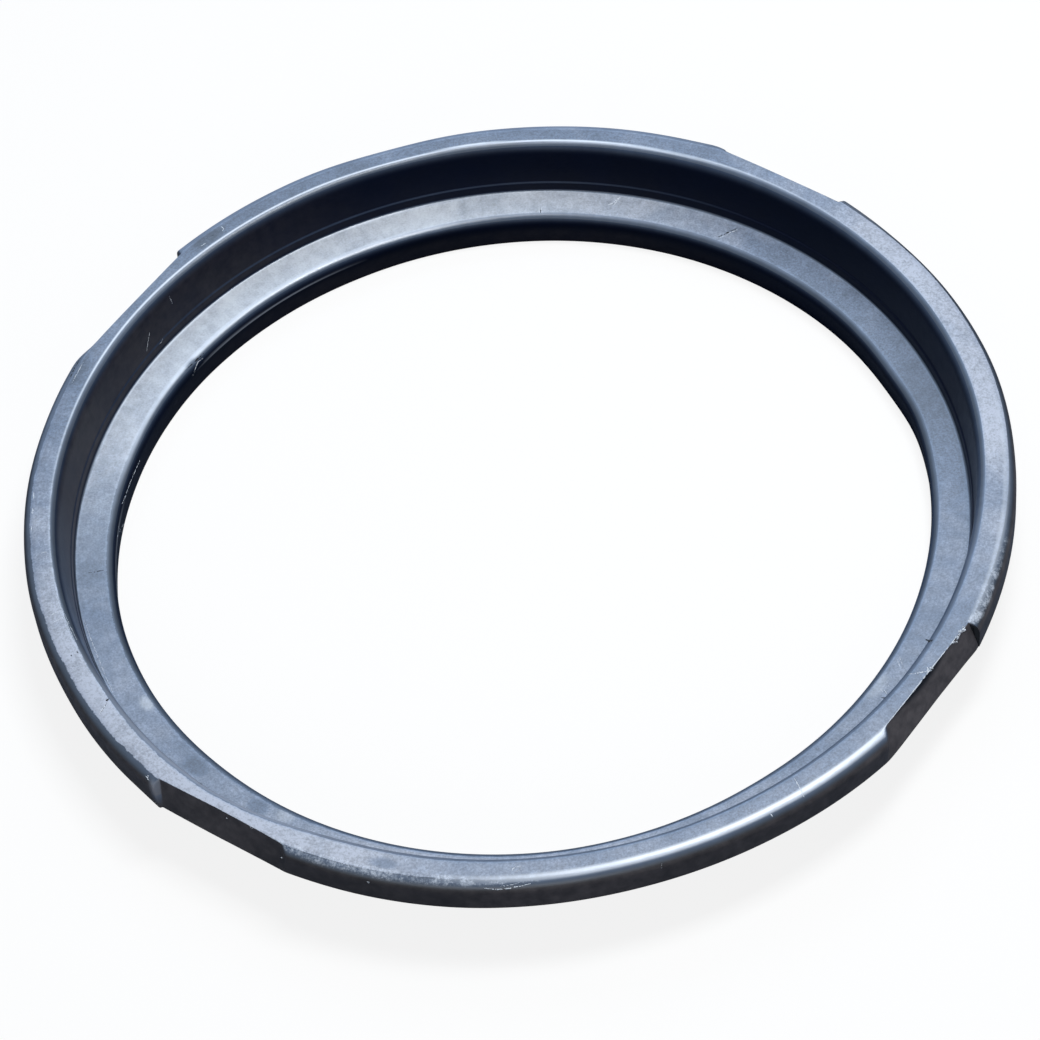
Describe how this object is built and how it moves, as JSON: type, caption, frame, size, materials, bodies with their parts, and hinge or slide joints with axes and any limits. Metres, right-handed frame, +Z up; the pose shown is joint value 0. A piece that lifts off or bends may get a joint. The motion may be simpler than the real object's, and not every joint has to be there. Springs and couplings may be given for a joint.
{
  "type": "manhole riser",
  "caption": "Thin-walled round riser ring with a downturned rim, a recessed flat cover seat and a rounded lip around its open centre.",
  "frame": {"origin": "on the ring's axis, at the level its foot rests on", "axes": "+Z up along the ring's axis; -Y towards the side nearest the picture's camera; +X to the picture's right"},
  "size_m": [0.736, 0.7359, 0.074],
  "materials": {
    "black_polyethylene": "black moulded polyethylene, satin, dusty on its upward faces"
  },
  "bodies": {
    "root": {"riser_ring": "black_polyethylene"}
  },
  "joints": []
}
